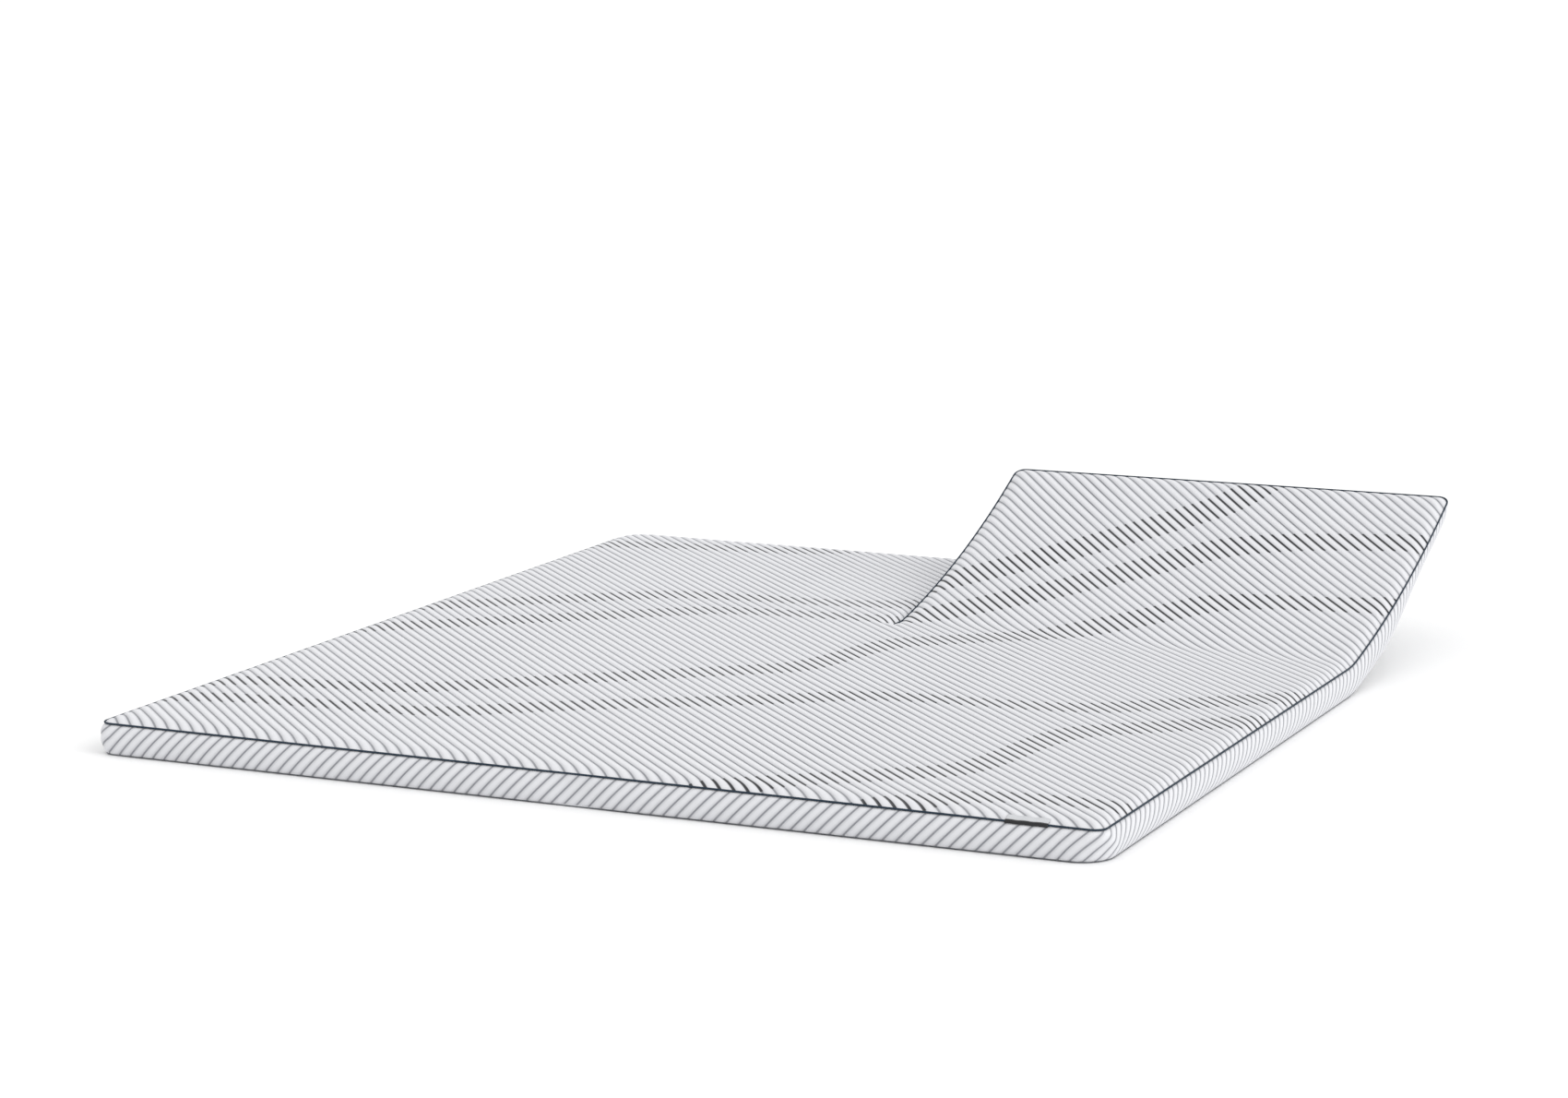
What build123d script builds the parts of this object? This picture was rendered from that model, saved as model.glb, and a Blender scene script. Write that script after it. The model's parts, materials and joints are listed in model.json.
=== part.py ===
from build123d import *
import os

# Split-head memory foam mattress in a removable quilted cover.
# Millimetres, +Z up, +X across the bed, +Y from the foot end to the head end.
# The origin is the middle of the underside. The head end is cut in two halves by a
# slit along the centre line. Both halves tilt up on their own, and the leg end bends
# at the hip and at the knee. The left half is modelled flat and the right half raised.

# ---- driving dimensions ----
WIDTH = 1800.0
LENGTH = 2000.0
THICKNESS = 60.0
CORNER_RADIUS = 30.0
SLIT_WIDTH = 8.0

# distance of each bending line from the foot end
KNEE_LINE = 600.0
HIP_LINE = 950.0
BACK_LINE = 1330.0
PILLOW_LINE = 1665.0
RAISED_BACK_ANGLE = 14.0
RAISED_PILLOW_ANGLE = 8.4
BEND_GAP = 0.2

# layers, as heights above the underside
BOTTOM_PANEL_TOP = 2.3
SUPPORT_FOAM_BOTTOM = 2.5
SUPPORT_FOAM_TOP = 30.0
MEMORY_FOAM_BOTTOM = 30.1
MEMORY_FOAM_TOP = 55.0
TOP_PANEL_BOTTOM = 55.2

# padded border: a lens-shaped strip that bulges outward
BORDER_DEPTH = 6.0
BORDER_BULGE = 8.0
SLIT_BORDER_BULGE = 2.0
BORDER_HEM = 1.0
PANEL_INSET = 2.0
FOAM_CLEARANCE = 0.2

# corded seam along the top edge
PIPING_RADIUS = 2.0
PIPING_OUTSET = 0.5
PIPING_HEIGHT = 57.2

# woven label folded over the foot seam
LABEL_LEFT = 742.0
LABEL_RIGHT = 812.0
LABEL_DEPTH = 25.0
LABEL_DROP = 11.0
LABEL_SHEET = 0.8
LABEL_STAND_OFF = 3.8
LABEL_LIFT = 1.0

# zip under the foot edge, where the core slides out of the cover
ZIP_HALF_LENGTH = 850.0
ZIP_SETBACK = 9.0
ZIP_TAPE_WIDTH = 14.0
ZIP_TAPE_BOTTOM = 3.8
ZIP_TAPE_TOP = 4.6
ZIP_COIL_RADIUS = 0.9
ZIP_PANEL_SETBACK = 18.0
SLIDER_START = -840.0
SLIDER_LENGTH = 9.0
SLIDER_WIDTH = 6.4
SLIDER_WALL = 1.2
SLIDER_BOTTOM = 0.3
SLIDER_TOP = 3.4
PULL_LENGTH = 24.0
PULL_WIDTH = 4.6
PULL_SHEET = 0.9

HALF_WIDTH = WIDTH / 2
HALF_SLIT = SLIT_WIDTH / 2
FOOT = -LENGTH / 2
HEAD = LENGTH / 2


def from_foot(distance):
    return FOOT + distance


class Section:
    """One stretch of the mattress between two bending lines, in the flat state."""

    def __init__(self, name, left, right, start, end, bordered):
        self.name = name
        self.left = left
        self.right = right
        self.start = start
        self.end = end
        self.bordered = bordered

    def outline(self, inset):
        """Plan limits with bordered sides set in and the cut ends just short of the bend."""
        left = self.left + (inset if "left" in self.bordered else 0)
        right = self.right - (inset if "right" in self.bordered else 0)
        start = self.start + (inset if "foot" in self.bordered else BEND_GAP)
        end = self.end - (inset if "head" in self.bordered else BEND_GAP)
        return left, right, start, end

    def rounded_corners(self, inset):
        """Plan positions of the corners where two bordered sides meet."""
        left, right, start, end = self.outline(inset)
        corners = []
        for side, x in (("left", left), ("right", right)):
            for tip, y in (("foot", start), ("head", end)):
                if side in self.bordered and tip in self.bordered:
                    corners.append((x, y))
        return corners


def slab(section, inset, bottom, top):
    """A flat layer of one section, rounded at the mattress's own corners."""
    left, right, start, end = section.outline(inset)
    centre = ((left + right) / 2, (start + end) / 2, (bottom + top) / 2)
    layer = Pos(*centre) * Box(right - left, end - start, top - bottom)
    radius = CORNER_RADIUS - inset
    for x, y in section.rounded_corners(inset):
        upright = layer.edges().filter_by(Axis.Z).sort_by_distance(Vector(x, y, centre[2]))[0]
        layer = fillet(upright, radius)
    return layer


def border_profile(bulge):
    """Border section: flat against the foam, arched outside. X is outward, Y is up."""
    middle = (SUPPORT_FOAM_BOTTOM + MEMORY_FOAM_TOP) / 2
    low = (-BORDER_HEM, SUPPORT_FOAM_BOTTOM)
    high = (-BORDER_HEM, MEMORY_FOAM_TOP)
    arch = ThreePointArc(low, (bulge, middle), high)
    back = Polyline(high, (-BORDER_DEPTH, high[1]), (-BORDER_DEPTH, low[1]), low)
    return make_face(arch + back)


def piping_profile():
    return Pos(PIPING_OUTSET, PIPING_HEIGHT) * Circle(PIPING_RADIUS)


def run_along(profile, corners):
    """Sweep a border section along a plan route whose outside is on its right-hand side."""
    points = [Vector(x, y, 0) for x, y in corners]
    forward = (points[1] - points[0]).normalized()
    outward = forward.cross(Vector(0, 0, 1))
    if len(points) == 2:
        path = Line(*points)
    else:
        path = FilletPolyline(*points, radius=CORNER_RADIUS - 0.01)
    start = Plane(origin=points[0], x_dir=outward, z_dir=forward * -1)
    if start.y_dir.Z < 0:
        start = Plane(origin=points[0], x_dir=outward, z_dir=forward)
    return sweep(start * profile, path=path)


def side_route(section, side):
    """Straight route along one bordered side, with the outside on the right."""
    _, _, start, end = section.outline(0)
    if side == "right":
        return [(section.right, start), (section.right, end)]
    return [(section.left, end), (section.left, start)]


def wrapped_route(section):
    """Route round three bordered sides, with the outside on the right."""
    left, right, start, end = section.outline(0)
    if "foot" in section.bordered:
        return [(left, end), (left, start), (right, start), (right, end)]
    return [(right, start), (right, end), (left, end), (left, start)]


def pillow_routes(section):
    """Routes of the two border strips of a pillow section: outer and head side, slit side."""
    right_side, right_corner, left_corner, left_side = wrapped_route(section)
    if section.left > 0:
        join = (left_corner[0] + CORNER_RADIUS, left_corner[1])
        return [right_side, right_corner, join], [join, left_corner, left_side]
    join = (right_corner[0] - CORNER_RADIUS, right_corner[1])
    return [join, left_corner, left_side], [right_side, right_corner, join]


def layers(section):
    """The stack of panels and foams in one section."""
    foam_inset = BORDER_DEPTH + FOAM_CLEARANCE
    parts = {
        f"support_foam_{section.name}": slab(section, foam_inset, SUPPORT_FOAM_BOTTOM, SUPPORT_FOAM_TOP),
        f"memory_foam_{section.name}": slab(section, foam_inset, MEMORY_FOAM_BOTTOM, MEMORY_FOAM_TOP),
        f"top_panel_{section.name}": slab(section, PANEL_INSET, TOP_PANEL_BOTTOM, THICKNESS),
        f"bottom_panel_{section.name}": slab(section, PANEL_INSET, 0, BOTTOM_PANEL_TOP),
    }
    return parts


def edge_parts(section):
    """The border strips and the corded seams round one section."""
    parts = {}
    if "head" in section.bordered:
        outer, slit = pillow_routes(section)
        parts[f"border_{section.name}_outer"] = run_along(border_profile(BORDER_BULGE), outer)
        parts[f"border_{section.name}_slit"] = run_along(border_profile(SLIT_BORDER_BULGE), slit)
        parts[f"piping_{section.name}"] = run_along(piping_profile(), wrapped_route(section))
        return parts
    for side in section.bordered:
        slit_side = abs(section.left if side == "left" else section.right) < HALF_WIDTH
        bulge = SLIT_BORDER_BULGE if slit_side else BORDER_BULGE
        route = side_route(section, side)
        parts[f"border_{section.name}_{side}"] = run_along(border_profile(bulge), route)
        parts[f"piping_{section.name}_{side}"] = run_along(piping_profile(), route)
    return parts


def calf_parts(section):
    """The foot section: full bulge round the foot end, and a gap under it for the zip."""
    parts = layers(section)
    route = wrapped_route(section)
    parts["border_calf"] = run_along(border_profile(BORDER_BULGE), route)
    parts["piping_calf"] = run_along(piping_profile(), route)
    zip_gap = Pos(0, FOOT + ZIP_PANEL_SETBACK / 2, 0) * Box(WIDTH, ZIP_PANEL_SETBACK, 3 * BOTTOM_PANEL_TOP)
    parts["bottom_panel_calf"] = parts["bottom_panel_calf"] - zip_gap
    cut_for_tape = Pos(0, FOOT + ZIP_SETBACK, ZIP_TAPE_TOP / 2) * Box(
        2 * ZIP_HALF_LENGTH + 4, ZIP_TAPE_WIDTH + 4, ZIP_TAPE_TOP + 0.4
    )
    for name in ("border_calf", "support_foam_calf"):
        parts[name] = parts[name] - cut_for_tape
    return parts


def label():
    """Woven label: a leaf lying on the top panel and a short leaf over the foot seam."""
    width = LABEL_RIGHT - LABEL_LEFT
    middle = (LABEL_LEFT + LABEL_RIGHT) / 2
    front = FOOT - LABEL_STAND_OFF
    top = THICKNESS + LABEL_LIFT
    depth = LABEL_DEPTH + LABEL_STAND_OFF
    leaf = Pos(middle, front + depth / 2, top - LABEL_SHEET / 2) * Box(width, depth, LABEL_SHEET)
    drop = Pos(middle, front + LABEL_SHEET / 2, top - LABEL_DROP / 2) * Box(width, LABEL_SHEET, LABEL_DROP)
    return leaf + drop


def zip_tape():
    height = ZIP_TAPE_TOP - ZIP_TAPE_BOTTOM
    centre = (0, FOOT + ZIP_SETBACK, (ZIP_TAPE_TOP + ZIP_TAPE_BOTTOM) / 2)
    return Pos(*centre) * Box(2 * ZIP_HALF_LENGTH, ZIP_TAPE_WIDTH, height)


def zip_coil():
    axis_height = ZIP_TAPE_BOTTOM - ZIP_COIL_RADIUS
    rod = Cylinder(ZIP_COIL_RADIUS, 2 * ZIP_HALF_LENGTH, rotation=(0, 90, 0))
    return Pos(0, FOOT + ZIP_SETBACK, axis_height) * rod


def zip_slider():
    """A channel that straddles the coil from below."""
    y = FOOT + ZIP_SETBACK
    height = SLIDER_TOP - SLIDER_BOTTOM
    body = Pos(SLIDER_START, y, SLIDER_BOTTOM + height / 2) * Box(SLIDER_LENGTH, SLIDER_WIDTH, height)
    channel_width = SLIDER_WIDTH - 2 * SLIDER_WALL
    channel_bottom = SLIDER_BOTTOM + SLIDER_WALL
    channel = Pos(SLIDER_START, y, channel_bottom + height / 2) * Box(2 * SLIDER_LENGTH, channel_width, height)
    return body - channel


def zip_pull():
    """The tab, lying flat along the zip beside its slider."""
    x = SLIDER_START + SLIDER_LENGTH / 2 + PULL_LENGTH / 2
    centre = (x, FOOT + ZIP_SETBACK, SLIDER_BOTTOM + PULL_SHEET / 2)
    tab = Pos(*centre) * Box(PULL_LENGTH, PULL_WIDTH, PULL_SHEET)
    far_corners = tab.edges().filter_by(Axis.Z).group_by(Axis.X)[-1]
    return fillet(far_corners, PULL_WIDTH / 2 - 0.1)


def raise_half(parts, section):
    """Turn a section of the right half up to the pose it is stored in."""
    back_axis = Axis((0, from_foot(BACK_LINE), THICKNESS), (1, 0, 0))
    pillow_axis = Axis((0, from_foot(PILLOW_LINE), THICKNESS), (1, 0, 0))
    for name, part in parts.items():
        if section.name == "pillow_right":
            part = part.rotate(pillow_axis, RAISED_PILLOW_ANGLE)
        parts[name] = part.rotate(back_axis, RAISED_BACK_ANGLE)
    return parts


def build():
    knee, hip = from_foot(KNEE_LINE), from_foot(HIP_LINE)
    back, pillow = from_foot(BACK_LINE), from_foot(PILLOW_LINE)
    calf = Section("calf", -HALF_WIDTH, HALF_WIDTH, FOOT, knee, ("left", "right", "foot"))
    flat_sections = [
        Section("thigh", -HALF_WIDTH, HALF_WIDTH, knee, hip, ("left", "right")),
        Section("seat", -HALF_WIDTH, HALF_WIDTH, hip, back, ("left", "right")),
        Section("back_left", -HALF_WIDTH, -HALF_SLIT, back, pillow, ("left", "right")),
        Section("pillow_left", -HALF_WIDTH, -HALF_SLIT, pillow, HEAD, ("left", "right", "head")),
    ]
    raised_sections = [
        Section("back_right", HALF_SLIT, HALF_WIDTH, back, pillow, ("left", "right")),
        Section("pillow_right", HALF_SLIT, HALF_WIDTH, pillow, HEAD, ("left", "right", "head")),
    ]
    parts = calf_parts(calf)
    for section in flat_sections:
        parts.update(layers(section))
        parts.update(edge_parts(section))
    for section in raised_sections:
        upright = {**layers(section), **edge_parts(section)}
        parts.update(raise_half(upright, section))
    parts["label"] = label()
    parts["zip_tape"] = zip_tape()
    parts["zip_coil"] = zip_coil()
    parts["zip_slider"] = zip_slider()
    parts["zip_pull"] = zip_pull()
    return parts


os.makedirs("parts", exist_ok=True)
for node, part in build().items():
    export_step(part, f"parts/{node}.step")
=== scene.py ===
import json
import math

import bpy
import numpy as np
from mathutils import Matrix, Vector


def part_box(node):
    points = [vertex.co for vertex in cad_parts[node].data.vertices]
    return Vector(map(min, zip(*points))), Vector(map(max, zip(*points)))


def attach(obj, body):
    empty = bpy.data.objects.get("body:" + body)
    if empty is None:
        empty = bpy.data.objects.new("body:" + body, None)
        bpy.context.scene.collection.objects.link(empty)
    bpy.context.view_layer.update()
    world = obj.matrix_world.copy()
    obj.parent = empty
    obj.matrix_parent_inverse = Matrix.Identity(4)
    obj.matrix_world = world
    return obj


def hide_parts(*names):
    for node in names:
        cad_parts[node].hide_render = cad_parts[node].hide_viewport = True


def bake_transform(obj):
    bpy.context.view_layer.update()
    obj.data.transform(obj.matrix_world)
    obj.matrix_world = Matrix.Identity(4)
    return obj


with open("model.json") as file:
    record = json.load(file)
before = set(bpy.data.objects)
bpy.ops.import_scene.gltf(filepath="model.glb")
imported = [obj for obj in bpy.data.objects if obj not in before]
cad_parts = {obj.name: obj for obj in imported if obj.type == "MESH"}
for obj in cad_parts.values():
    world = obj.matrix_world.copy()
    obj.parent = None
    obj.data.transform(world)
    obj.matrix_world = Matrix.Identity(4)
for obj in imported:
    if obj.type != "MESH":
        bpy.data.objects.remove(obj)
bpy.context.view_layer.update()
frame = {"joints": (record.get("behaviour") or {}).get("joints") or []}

# The mattress is made in flat cloth coordinates, in metres: x across the bed, s from
# the foot end, h above the base. place() then lays each point flat or on the raised half.

# ---- driving dimensions ----
# the top panels of the CAD model stop this far inside the cover's edge
PANEL_INSET = 0.002
HALF_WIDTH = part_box("top_panel_calf")[1].x + PANEL_INSET
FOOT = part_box("top_panel_calf")[0].y - PANEL_INSET
LENGTH = 2 * abs(FOOT)
JOINTS = {j["name"]: j for j in frame["joints"]}
SIDES = {"left": -1, "right": 1}

SEAM_HEIGHT = 0.0546
# the top rises from its edge in a round crown
CROWN = 0.0085
CROWN_REACH = 0.040
CROWN_LIP = 0.0005
CROWN_ROUND = 2.4
CROWN_SHAPE = 0.85
# diagonal ribs, lower at the sewn edge; the pitch is measured along the edge
RIB_PITCH = 0.025
RIB_PHASE = 0.0112
RIB_PUFF = 0.0032
RIB_ROUND = 0.8
EDGE_PUFF = 0.3
EDGE_PUFF_REACH = 0.02
# a slight unevenness of the filling: size, then radians per metre and phase across and along
UNEVEN = 0.0006
UNEVEN_ACROSS = (7.1, 1.3)
UNEVEN_ALONG = (5.3, 0.4)
UNEVEN_REACH = 0.1
# the border bulges between its two seams, and its ribs flatten towards them
BORDER_PITCH = 0.02225
BORDER_PUFF = 0.0018
BORDER_EDGE_PUFF = 0.25
BORDER_EDGE_REACH = 0.10
BORDER_BULGE = 0.0085
BULGE_ROUND = 0.7
BORDER_TOP = 0.0525
BORDER_BOTTOM = 0.0012
BORDER_UNDERCUT = 0.0012
CORNER_ZONE = 0.075
# a corner reaches its base radius at this share of the border's height
CORNER_SPREAD = 0.7
# from here to the head end, the nearest edge is taken from the head half's own outline
HEAD_OUTLINE_FROM = 1.6
# radius of each corner at the top seam and at the base
CORNERS = {
    "foot_left": (0.020, 0.024),
    "foot_right": (0.020, 0.054),
    "head_left": (0.062, 0.062),
    "head_right": (0.020, 0.050),
    "slit": (0.020, 0.030),
}

SLIT_START = 1.319
SLIT_HALF = 0.0035
SLIT_BULGE = 0.0010
SLIT_BULGE_REACH = 0.08

# where one cloth piece ends and the next begins, between the bending lines
CUTS = {"calf": (0.0, 0.775), "thigh": (0.775, 1.15), "back": (1.15, 1.5), "pillow": (1.5, 2.0)}

# the raised half: a soft crease, then one long gentle curve to the head end
CREASE_OUTER = 1.278
CREASE_INNER = 1.305
CREASE_LENGTH = 0.08
# the slanting crease line stops this many half widths out
CREASE_LIMIT = 1.1
CREASE_TURN = math.radians(10.55)
CURVE_TURN = math.radians(14.84)
HALF_SHIFT = -0.002
# the inner side lifts more than the outer side, and the outer base edge tucks under
TWIST = 0.019
TUCK = 0.022
TUCK_FROM = 1.50
TUCK_OVER = 0.35
TUCK_SIDE = 0.15

# mesh spacing of the top, and the small steps that slopes and normals are taken over
GRID = 0.003125
SLOPE_STEP = 0.0005
NORMAL_STEP = 0.0002


def smooth(t):
    """Smooth step from 0 to 1."""
    t = np.clip(t, 0, 1)
    return t * t * (3 - 2 * t)


# ---- the shape that the whole mattress follows ----
CURVE_STEPS = np.linspace(0, 0.9, 901)


def curve_slope(t):
    """Slope in radians at distance t past the start of the crease."""
    share = CURVE_TURN / (LENGTH - CREASE_OUTER - CREASE_LENGTH / 2)
    return CREASE_TURN * smooth(t / CREASE_LENGTH) + share * np.maximum(t - CREASE_LENGTH / 2, 0)


def integrate(values):
    """Running total of the values over CURVE_STEPS."""
    step = CURVE_STEPS[1]
    return np.concatenate([[0], np.cumsum((values[1:] + values[:-1]) / 2) * step])


CURVE_RUN = integrate(np.cos(curve_slope(CURVE_STEPS)))
CURVE_RISE = integrate(np.sin(curve_slope(CURVE_STEPS)))


def place(x, s, h, raised):
    """World position of cloth point (x, s, h) on the flat part or on the raised half."""
    if not raised:
        return np.stack([x, s + FOOT, h], -1)
    start = CREASE_INNER + (CREASE_OUTER - CREASE_INNER) * np.clip(x / HALF_WIDTH, 0, CREASE_LIMIT)
    t = s - start
    past = np.maximum(t, 0)
    inward = 1 - np.clip(x / HALF_WIDTH, 0, 1)
    plain_slope = curve_slope(past)
    lift = TWIST * inward * past ** 2
    slope = plain_slope + 2 * TWIST * inward * past
    run = np.where(t > 0, np.interp(past, CURVE_STEPS, CURVE_RUN), t) - lift * np.sin(plain_slope)
    rise = np.interp(past, CURVE_STEPS, CURVE_RISE) + lift * np.cos(plain_slope)
    above = h - SEAM_HEIGHT
    tuck = TUCK * smooth((s - TUCK_FROM) / TUCK_OVER) * np.clip(-above / SEAM_HEIGHT, 0, 1)
    tuck = tuck * smooth((x - HALF_WIDTH + TUCK_SIDE) / TUCK_SIDE)
    return np.stack([
        x + HALF_SHIFT * past - tuck,
        start + FOOT + run - above * np.sin(slope),
        SEAM_HEIGHT + rise + above * np.cos(slope),
    ], -1)


# ---- plan outline ----
def corner_radii(side, base=False):
    """Radii of the foot, head and slit corners of one side."""
    side_name = "right" if side > 0 else "left"
    corners = (f"foot_{side_name}", f"head_{side_name}", "slit")
    return [CORNERS[corner][int(base)] for corner in corners]


def round_corner(x, s, centre_x, centre_s, sign_x, sign_s, radius):
    """Pull the square corner of a grid in to a quarter circle."""
    a = np.clip((x - centre_x) * sign_x / radius, 0, None)
    b = np.clip((s - centre_s) * sign_s / radius, 0, None)
    new_a = a * np.sqrt(np.clip(1 - np.minimum(b, 1) ** 2 / 2, 0, 1))
    new_b = b * np.sqrt(np.clip(1 - np.minimum(a, 1) ** 2 / 2, 0, 1))
    inside = (a > 0) & (b > 0)
    x = np.where(inside, centre_x + sign_x * new_a * radius, x)
    s = np.where(inside, centre_s + sign_s * new_b * radius, s)
    return x, s


def slit_edge(s, inset=0.0):
    """Half width of the slit at distance s from the foot end: zero before it starts."""
    t = np.clip((s - SLIT_START + inset) / SLIT_HALF, 0, 1)
    return (SLIT_HALF + inset) * np.sqrt(np.clip(1 - (1 - t) ** 2, 0, 1))


def plan_point(u, s, side, base=False):
    """Plan position for grid position u (0 at the centre line, HALF_WIDTH at the side)."""
    inner = slit_edge(s)
    x = side * (inner + u * (HALF_WIDTH - inner) / HALF_WIDTH)
    foot, head, slit = corner_radii(side, base)
    x, s = round_corner(x, s, side * (HALF_WIDTH - foot), foot, side, -1, foot)
    x, s = round_corner(x, s, side * (HALF_WIDTH - head), LENGTH - head, side, 1, head)
    x, s = round_corner(x, s, side * (SLIT_HALF + slit), LENGTH - slit, -side, 1, slit)
    return x, s


def box_distance(x, s, low_x, high_x, low_s, high_s, radius):
    """Distance inward from the edge of a rectangle with rounded corners."""
    a = np.abs(x - (low_x + high_x) / 2) - (high_x - low_x) / 2 + radius
    b = np.abs(s - (low_s + high_s) / 2) - (high_s - low_s) / 2 + radius
    outside = np.hypot(np.maximum(a, 0), np.maximum(b, 0))
    return radius - outside - np.minimum(np.maximum(a, b), 0)


def edge_distance(x, s, side):
    """Distance from a cloth point to the nearest sewn edge, slit included."""
    foot, head, slit_corner = corner_radii(side)
    near = box_distance(np.abs(x), s, -HALF_WIDTH, HALF_WIDTH, 0, 2 * LENGTH, foot)
    slit = np.hypot(x, np.minimum(s - SLIT_START - SLIT_HALF, 0)) - SLIT_HALF
    far = box_distance(np.abs(x), s, SLIT_HALF - LENGTH, HALF_WIDTH, 0, LENGTH, head)
    far_slit = box_distance(np.abs(x), s, SLIT_HALF, LENGTH, 0, LENGTH, slit_corner)
    head_part = np.minimum(far, far_slit)
    return np.where(s > HEAD_OUTLINE_FROM, head_part, np.minimum(near, slit))


# ---- the quilted top ----
def rib_number(x, s):
    """Count of diagonal ribs up to a cloth point; a groove lies at every whole number."""
    return (x + s - RIB_PHASE) / RIB_PITCH


def puff_shape(rib):
    """Height of the puff between two grooves, from 0 to 1."""
    return np.abs(np.sin(math.pi * rib)) ** RIB_ROUND


def crown_height(d):
    """Height of the top, without its ribs, at distance d from the sewn edge."""
    t = np.clip(d / CROWN_REACH, 0, 1)
    return BORDER_TOP + CROWN_LIP + CROWN * (1 - (1 - t) ** CROWN_ROUND) ** CROWN_SHAPE


def unevenness(x, s, d):
    """Slow, slight rises and dips of the top, none at its edge."""
    across = np.sin(UNEVEN_ACROSS[0] * x + UNEVEN_ACROSS[1])
    along = np.sin(UNEVEN_ALONG[0] * s + UNEVEN_ALONG[1])
    return UNEVEN * across * along * smooth(d / UNEVEN_REACH)


def top_point(u, s, side):
    """World position of the quilted top: each rib puffs out square to the crown."""
    x, s = plan_point(u, s, side)
    step = SLOPE_STEP
    d = edge_distance(x, s, side)
    slope_x = (edge_distance(x + step, s, side) - edge_distance(x - step, s, side)) / (2 * step)
    slope_s = (edge_distance(x, s + step, side) - edge_distance(x, s - step, side)) / (2 * step)
    steep = (crown_height(d + step) - crown_height(np.maximum(d - step, 0))) / (2 * step)
    lean = np.stack([-steep * slope_x, -steep * slope_s, np.ones_like(d)], -1)
    lean /= np.linalg.norm(lean, axis=-1, keepdims=True)
    room = EDGE_PUFF + (1 - EDGE_PUFF) * smooth(d / EDGE_PUFF_REACH)
    puff = RIB_PUFF * puff_shape(rib_number(x, s)) * room
    return place(
        x + puff * lean[..., 0],
        s + puff * lean[..., 1],
        crown_height(d) + unevenness(x, s, d) + puff * lean[..., 2],
        side > 0,
    )


# Each wave of dark stitching crosses the ribs with a small steady drift and a few soft steps.
# Values: place along the ribs at across = 0, then (middle, width, size) of each step.
WAVE_DRIFT = 0.10
WAVE_HALF_LENGTH = 0.040
NO_WAVE = -1.0
WAVES = [
    (-1.985, [(0.88, 0.46, 0.20)]),
    (-1.410, [(0.81, 0.46, 0.225), (1.78, 0.25, -0.06)]),
    (-1.230, [(0.81, 0.40, 0.19), (1.85, 0.60, 0.28)]),
    (-0.822, [(-0.22, 0.36, 0.15), (0.74, 0.32, -0.162), (1.63, 0.36, 0.19)]),
    (-0.720, [(-0.42, 0.25, 0.07), (-0.22, 0.36, 0.18), (0.30, 0.70, 0.055), (0.80, 0.42, 0.21)]),
    (0.165, [(0.72, 0.36, -0.21)]),
    (0.345, [(0.69, 0.36, 0.20)]),
]


def wave_depth(x, s):
    """Distance inside the nearest wave, along the ribs: negative outside every wave."""
    across = (x + s) / math.sqrt(2)
    along = (x - s) / math.sqrt(2)
    best = np.full(np.shape(x), NO_WAVE)
    for start, steps in WAVES:
        middle = start + WAVE_DRIFT * across
        for centre, width, size in steps:
            middle = middle + size * smooth((across - centre) / width + 0.5)
        best = np.maximum(best, WAVE_HALF_LENGTH - np.abs(along - middle))
    return best


# ---- mesh making ----
def mesh_object(name, points, faces, normals=None, uv=None, values=None, material=None):
    """A mesh from vertex and triangle or quad arrays, smooth shaded, with its cloth coordinates."""
    mesh = bpy.data.meshes.new(name)
    corners = faces.shape[1]
    mesh.vertices.add(len(points))
    mesh.vertices.foreach_set("co", points.astype(np.float32).ravel())
    mesh.loops.add(faces.size)
    mesh.loops.foreach_set("vertex_index", faces.astype(np.int32).ravel())
    mesh.polygons.add(len(faces))
    mesh.polygons.foreach_set("loop_start", np.arange(0, faces.size, corners, dtype=np.int32))
    mesh.polygons.foreach_set("use_smooth", np.ones(len(faces), bool))
    mesh.update(calc_edges=True)
    if uv is not None:
        layer = mesh.uv_layers.new(name="cloth")
        layer.data.foreach_set("uv", uv[faces.ravel()].astype(np.float32).ravel())
    for key, value in (values or {}).items():
        attribute = mesh.attributes.new(key, "FLOAT", "POINT")
        attribute.data.foreach_set("value", value.astype(np.float32))
    if normals is not None:
        mesh.normals_split_custom_set_from_vertices(normals.tolist())
    obj = bpy.data.objects.new(name, mesh)
    bpy.context.scene.collection.objects.link(obj)
    if material is not None:
        mesh.materials.append(material)
    return obj


def grid_faces(rows, columns, flip):
    """Triangles of a grid, split along the falling diagonal."""
    a = (np.arange(rows - 1)[:, None] * columns + np.arange(columns - 1)[None]).ravel()
    b, c, d = a + 1, a + columns, a + columns + 1
    first = np.stack([a, b, c], -1)
    second = np.stack([b, d, c], -1)
    faces = np.concatenate([first, second])
    return faces[:, ::-1] if flip else faces


def surface(name, shape, first, second, flip, material, cloth):
    """A patch shape(a, b) over two parameter lists, with exact normals.
    cloth(a, b) gives its cloth coordinates and its rib and wave values."""
    a, b = np.meshgrid(first, second, indexing="ij")
    step = NORMAL_STEP
    points = shape(a, b)
    along = shape(a + step, b) - shape(a - step, b)
    across = shape(a, b + step) - shape(a, b - step)
    normals = np.cross(along, across)
    normals /= np.maximum(np.linalg.norm(normals, axis=-1, keepdims=True), 1e-12)
    if flip:
        normals = -normals
    u, v, values = cloth(a, b)
    uv = np.stack([u.ravel(), v.ravel()], -1)
    flat = {key: value.ravel() for key, value in values.items()}
    faces = grid_faces(len(first), len(second), not flip)
    points = points.reshape(-1, 3)
    normals = normals.reshape(-1, 3)
    return mesh_object(name, points, faces, normals, uv, flat, material)


def spaced(start, end, step):
    """Even parameters from start to end, at most step apart."""
    count = max(2, int(math.ceil(round((end - start) / step, 6))) + 1)
    return np.linspace(start, end, count)


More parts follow.
